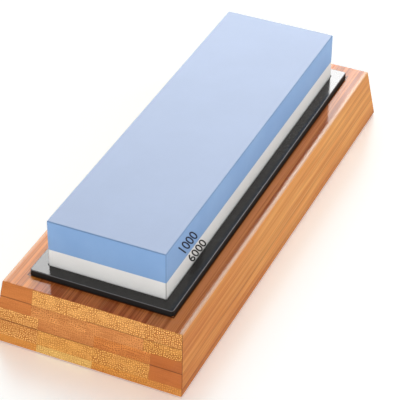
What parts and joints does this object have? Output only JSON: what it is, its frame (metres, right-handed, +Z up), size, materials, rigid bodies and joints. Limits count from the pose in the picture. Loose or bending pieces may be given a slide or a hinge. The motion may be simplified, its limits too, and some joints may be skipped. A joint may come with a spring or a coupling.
{
  "type": "sharpening whetstone",
  "caption": "Two-layer water stone, coarse blue face bonded to a fine white face, lying in a black rubber tray that drops into a routed, flared base of laminated bamboo strips.",
  "frame": {"origin": "on the surface that the four feet stand on, under the middle of the base", "axes": "+Y along the stone, +Z up through its layers, +X across its width; the end nearest the printed grit numbers is the -Y end, and the numbers are on the +X side"},
  "size_m": [0.0842, 0.2208, 0.0509],
  "materials": {
    "coarse_stone": "matte",
    "fine_stone": "matte",
    "tray_rubber": "gloss",
    "bamboo_pale": "gloss",
    "bamboo_amber": "gloss",
    "bamboo_dark": "gloss",
    "foot_rubber": "matte"
  },
  "bodies": {
    "base": {"bamboo_ply1_strip1": "bamboo_dark", "bamboo_ply1_strip2": "bamboo_pale", "bamboo_ply1_strip3": "bamboo_pale", "bamboo_ply1_strip4": "bamboo_amber", "bamboo_ply2_strip1": "bamboo_dark", "bamboo_ply2_strip2": "bamboo_amber", "bamboo_ply2_strip3": "bamboo_amber", "bamboo_ply2_strip4": "bamboo_amber", "bamboo_ply3_strip1": "bamboo_amber", "bamboo_ply3_strip2": "bamboo_amber", "bamboo_ply3_strip3": "bamboo_amber", "bamboo_ply3_strip4": "bamboo_dark", "bamboo_ply4_strip1": "bamboo_amber", "bamboo_ply4_strip2": "bamboo_pale", "bamboo_ply4_strip3": "bamboo_pale", "bamboo_ply4_strip4": "bamboo_dark", "bamboo_ply5_strip1": "bamboo_amber", "bamboo_ply5_strip2": "bamboo_pale", "bamboo_ply5_strip3": "bamboo_pale", "bamboo_ply5_strip4": "bamboo_amber", "foot_front_left": "foot_rubber", "foot_front_right": "foot_rubber", "foot_rear_left": "foot_rubber", "foot_rear_right": "foot_rubber"},
    "tray": {"rubber_tray": "tray_rubber"},
    "stone": {"stone_coarse_layer": "coarse_stone", "stone_fine_layer": "fine_stone"}
  },
  "joints": [
    {"name": "tray_lift", "type": "slide", "parent": "base", "child": "tray", "axis": [0, 0, 1], "range_m": [0, 0.025]},
    {"name": "stone_lift", "type": "slide", "parent": "tray", "child": "stone", "axis": [0, 0, 1], "range_m": [0, 0.025]}
  ]
}
